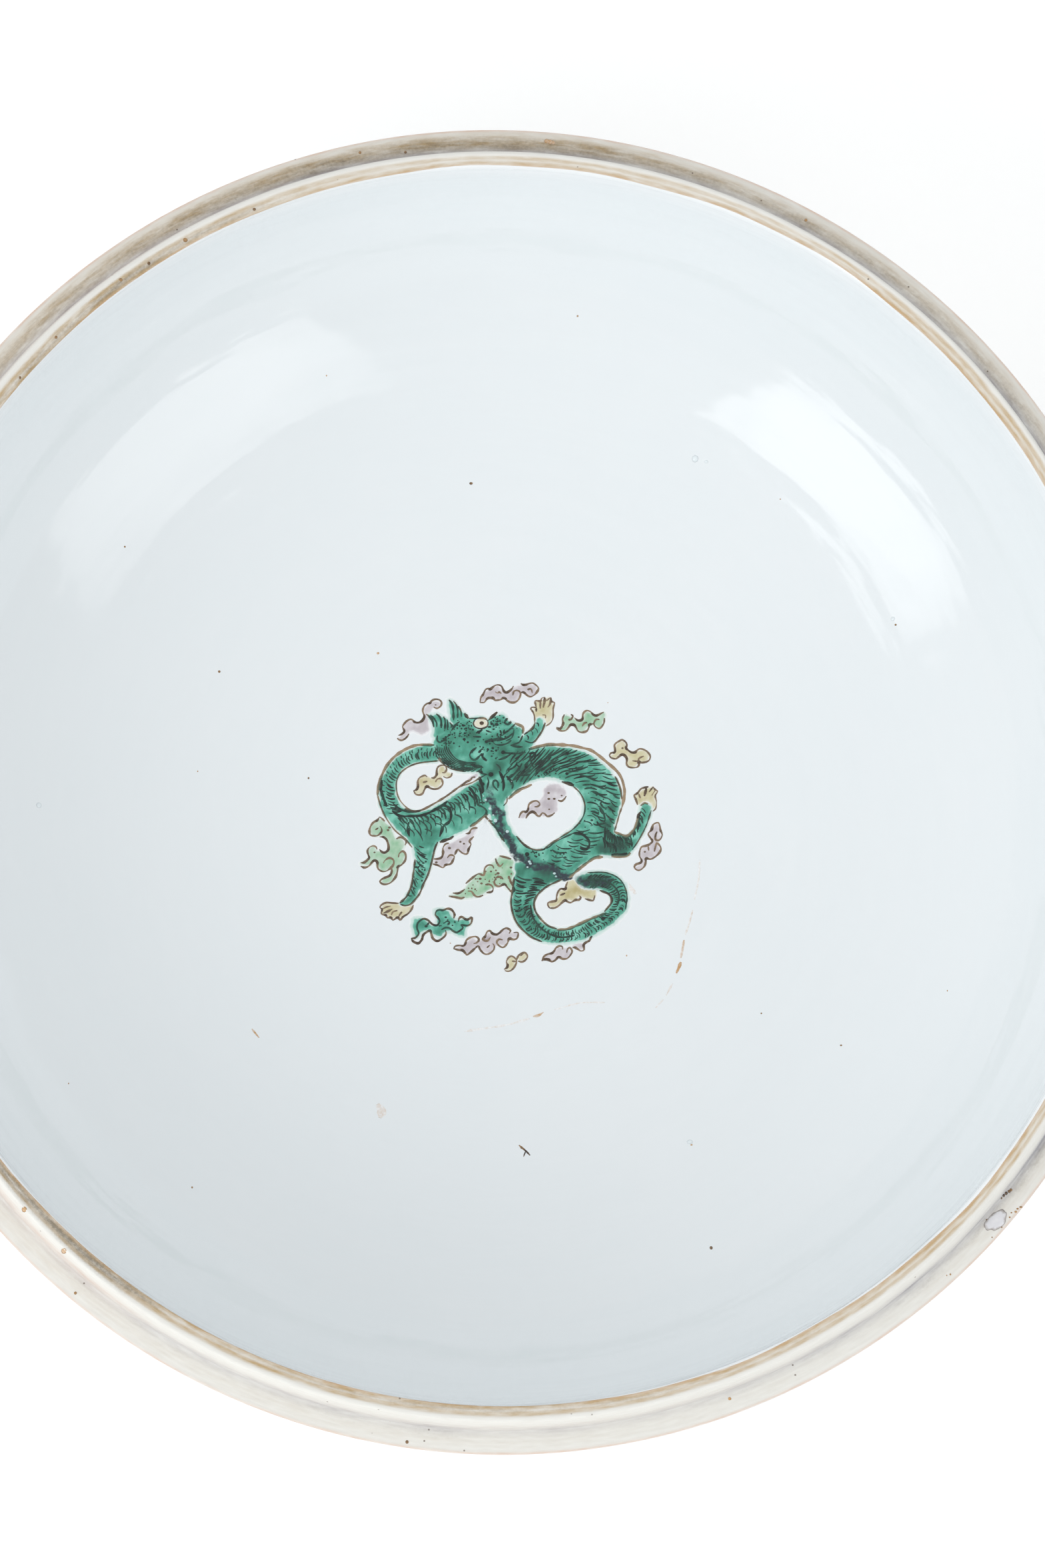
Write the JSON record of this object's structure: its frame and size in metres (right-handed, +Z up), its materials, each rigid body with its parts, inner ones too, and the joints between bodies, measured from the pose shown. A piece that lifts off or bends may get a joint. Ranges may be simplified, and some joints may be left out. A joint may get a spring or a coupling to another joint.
{
  "type": "porcelain box",
  "caption": "Round porcelain box: a deep bowl base with foot ring, ledge and upstanding flange, and a lift-off domed cover.",
  "frame": {"origin": "on the table, midway between the axes of the base and of the cover set down beside it", "axes": "+Z up, +X from the base to the cover, the medallion upright when seen from -Y with +X to the right"},
  "size_m": [0.525, 0.25, 0.0733],
  "materials": {
    "porcelain_glaze": "gloss",
    "biscuit_rim": "matte",
    "green_enamel": "gloss",
    "pale_green_enamel": "gloss",
    "yellow_enamel": "gloss",
    "aubergine_enamel": "gloss",
    "black_line_enamel": "satin"
  },
  "bodies": {
    "base": {"box_base": "porcelain_glaze"},
    "cover": {"box_cover": "porcelain_glaze"}
  },
  "joints": [
    {"name": "cover_lift", "type": "slide", "parent": "base", "child": "cover", "axis": [0, 0, 1], "range_m": [0, 0.12]}
  ]
}
